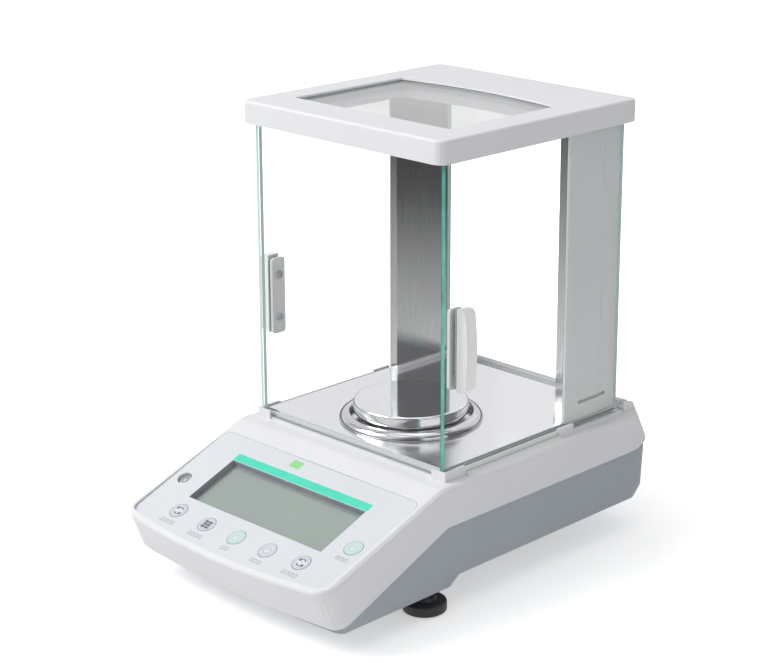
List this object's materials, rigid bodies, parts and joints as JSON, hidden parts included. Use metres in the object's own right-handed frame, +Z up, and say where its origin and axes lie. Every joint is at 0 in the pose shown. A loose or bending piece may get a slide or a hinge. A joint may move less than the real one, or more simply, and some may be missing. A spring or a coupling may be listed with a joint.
{
  "type": "analytical balance",
  "caption": "Laboratory balance with a sliding-door glass draft shield, round pan and ring, sloped display panel and levelling feet.",
  "frame": {"origin": "middle of the object's box, on the table plane under the feet", "axes": "+X to the right seen from the control panel, +Y to the rear, +Z up"},
  "size_m": [0.215, 0.3591, 0.342],
  "materials": {
    "light_plastic": "fine satin light grey, moulded",
    "grey_plastic": "matt blue-grey, fine texture",
    "trim_plastic": "satin mid grey",
    "overlay_film": "printed polyester film",
    "clear_glass": "float glass, polished edges",
    "stainless": "brushed and polished sheet",
    "polished_steel": "mirror polish",
    "cast_aluminium": "machined",
    "black_rubber": "matt black",
    "black_plastic": "matt black",
    "circuit_board": "green solder mask",
    "copper_wire": "enamelled winding",
    "lcd": "grey-green reflective display",
    "level_fluid": "clear vial with pale fluid",
    "cable_grey": "ribbed flat cable"
  },
  "bodies": {
    "base": {"upper_case": "light_plastic", "lower_case": "grey_plastic", "rear_foot": "black_plastic", "floor_plate": "stainless", "right_door_track": "trim_plastic", "left_door_track": "trim_plastic", "front_glass": "clear_glass", "rear_glass": "clear_glass", "right_post_liner": "stainless", "left_post_liner": "stainless", "right_post_cover": "trim_plastic", "left_post_cover": "trim_plastic", "top_frame": "light_plastic", "top_retainer": "trim_plastic", "cell_base": "cast_aluminium", "upper_guide": "cast_aluminium", "lower_guide": "cast_aluminium", "magnet_pot": "stainless", "position_sensor": "black_plastic", "panel_overlay": "overlay_film", "display_window": "clear_glass", "display_module": "lcd", "display_board": "circuit_board", "level_housing": "black_plastic", "level_vial": "level_fluid", "main_board": "circuit_board", "ribbon_cable": "cable_grey", "power_jack": "black_plastic", "serial_port": "stainless"},
    "right_door": {"right_door_glass": "clear_glass", "right_handle_plate": "light_plastic", "right_handle_gasket": "black_rubber", "right_handle_grip": "light_plastic", "right_handle_screw_lower": "stainless", "right_handle_screw_upper": "stainless"},
    "left_door": {"left_door_glass": "clear_glass", "left_handle_plate": "light_plastic", "left_handle_gasket": "black_rubber", "left_handle_grip": "light_plastic", "left_handle_screw_lower": "stainless", "left_handle_screw_upper": "stainless"},
    "top_door": {"top_door_glass": "clear_glass"},
    "load_stage": {"load_receiver": "cast_aluminium", "pan_support": "stainless"},
    "pan": {"weighing_pan": "polished_steel"},
    "ring": {"draft_ring": "polished_steel"},
    "lever": {"weigh_lever": "cast_aluminium", "force_coil": "copper_wire"},
    "tare_left_press": {"tare_key_left": "overlay_film"},
    "menu_press": {"menu_key": "overlay_film"},
    "on_press": {"on_key": "overlay_film"},
    "calibration_press": {"calibration_key": "overlay_film"},
    "tare_right_press": {"tare_key_right": "overlay_film"},
    "off_press": {"off_key": "overlay_film"},
    "right_foot_sole": {"right_foot_pad": "black_rubber"},
    "left_foot_sole": {"left_foot_pad": "black_rubber"},
    "right_foot_screw": {"right_foot_knob": "black_plastic", "right_foot_stud": "stainless"},
    "left_foot_screw": {"left_foot_knob": "black_plastic", "left_foot_stud": "stainless"}
  },
  "joints": [
    {"name": "right_door_slide", "type": "slide", "parent": "base", "child": "right_door", "axis": [0, 1, 0], "range_m": [0, 0.11]},
    {"name": "left_door_slide", "type": "slide", "parent": "base", "child": "left_door", "axis": [0, 1, 0], "range_m": [0, 0.11]},
    {"name": "top_door_slide", "type": "slide", "parent": "base", "child": "top_door", "axis": [0, 1, 0], "range_m": [0, 0.1]},
    {"name": "load_travel", "type": "slide", "parent": "base", "child": "load_stage", "axis": [0, 0, 1], "range_m": [-0.0003, 0.0003], "stiffness_N_per_m": 12000},
    {"name": "pan_lift", "type": "slide", "parent": "load_stage", "child": "pan", "axis": [0, 0, 1], "range_m": [0, 0.03]},
    {"name": "ring_lift", "type": "slide", "parent": "base", "child": "ring", "axis": [0, 0, 1], "range_m": [0, 0.03]},
    {"name": "lever_tilt", "type": "hinge", "parent": "base", "child": "lever", "pos_m": [0, 0.0455, 0.063], "axis": [1, 0, 0], "range_deg": [-1, 1]},
    {"name": "tare_left_travel", "type": "slide", "parent": "base", "child": "tare_left_press", "axis": [0, 0.3614, -0.9324], "range_m": [0, 0.0004], "stiffness_N_per_m": 60},
    {"name": "menu_travel", "type": "slide", "parent": "base", "child": "menu_press", "axis": [0, 0.3614, -0.9324], "range_m": [0, 0.0004], "stiffness_N_per_m": 60},
    {"name": "on_travel", "type": "slide", "parent": "base", "child": "on_press", "axis": [0, 0.3614, -0.9324], "range_m": [0, 0.0004], "stiffness_N_per_m": 60},
    {"name": "calibration_travel", "type": "slide", "parent": "base", "child": "calibration_press", "axis": [0, 0.3614, -0.9324], "range_m": [0, 0.0004], "stiffness_N_per_m": 60},
    {"name": "tare_right_travel", "type": "slide", "parent": "base", "child": "tare_right_press", "axis": [0, 0.3614, -0.9324], "range_m": [0, 0.0004], "stiffness_N_per_m": 60},
    {"name": "off_travel", "type": "slide", "parent": "base", "child": "off_press", "axis": [0, 0.3614, -0.9324], "range_m": [0, 0.0004], "stiffness_N_per_m": 60},
    {"name": "right_foot_height", "type": "slide", "parent": "base", "child": "right_foot_sole", "axis": [0, 0, 1], "range_m": [-0.0025, 0.0025]},
    {"name": "left_foot_height", "type": "slide", "parent": "base", "child": "left_foot_sole", "axis": [0, 0, 1], "range_m": [-0.0025, 0.0025]},
    {"name": "right_foot_turn", "type": "hinge", "parent": "right_foot_sole", "child": "right_foot_screw", "pos_m": [0.09, -0.0595, 0.003], "axis": [0, 0, 1], "range_deg": [-720, 720]},
    {"name": "left_foot_turn", "type": "hinge", "parent": "left_foot_sole", "child": "left_foot_screw", "pos_m": [-0.09, -0.0595, 0.003], "axis": [0, 0, 1], "range_deg": [-720, 720]}
  ],
  "couplings": [
    {"joint": "lever_tilt", "follows": "load_travel", "rad_per_m": -52.63},
    {"joint": "right_foot_turn", "follows": "right_foot_height", "rad_per_m": 5026.5},
    {"joint": "left_foot_turn", "follows": "left_foot_height", "rad_per_m": 5026.5}
  ]
}
